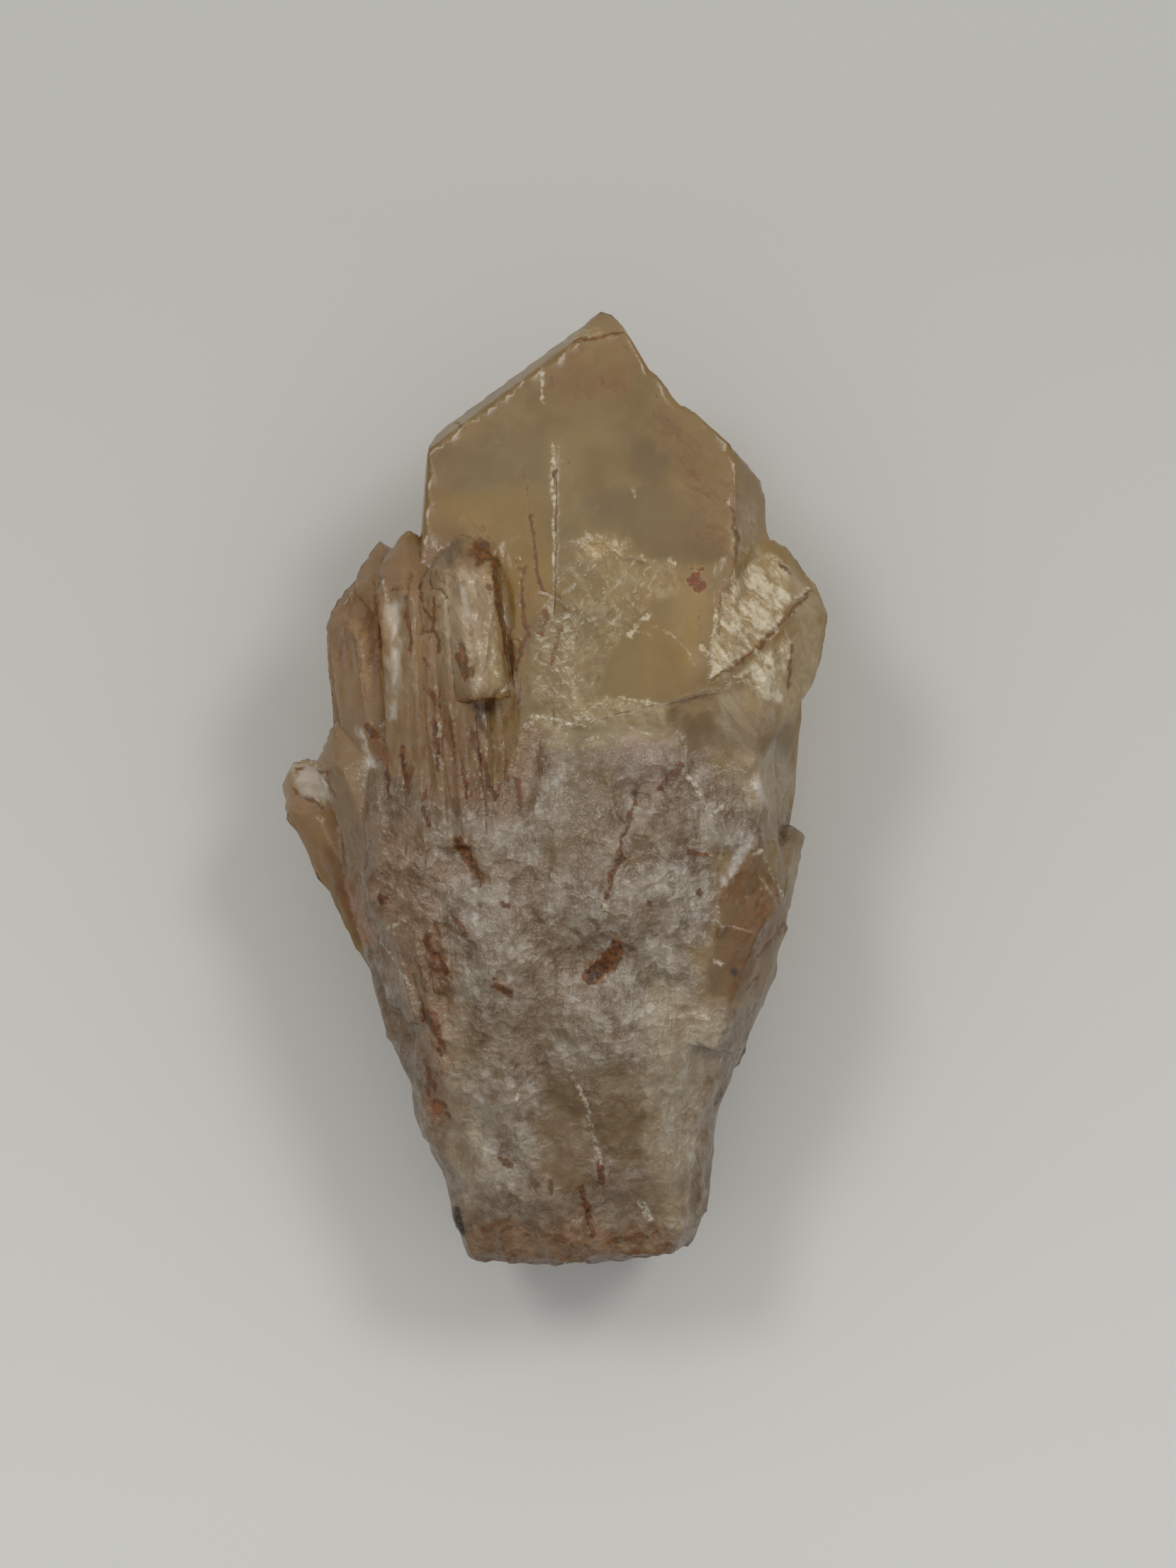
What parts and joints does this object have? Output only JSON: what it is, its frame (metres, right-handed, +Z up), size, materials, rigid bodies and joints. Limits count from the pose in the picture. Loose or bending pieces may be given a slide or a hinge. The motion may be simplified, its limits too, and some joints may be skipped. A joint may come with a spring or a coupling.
{
  "type": "natural citrine crystal cluster",
  "caption": "Natural citrine specimen: smoky yellow quartz crystals grown together on a broken milky stem, lying on its back on a flat face",
  "frame": {"origin": "on the resting surface, under the middle of the bounding box", "axes": "+Y from the broken base end to the tip of the main crystal, +Z up, away from the surface the cluster lies on"},
  "size_m": [0.0544, 0.095, 0.0359],
  "materials": {
    "citrine": "satin"
  },
  "bodies": {
    "root": {"citrine_cluster": "citrine"}
  },
  "joints": []
}
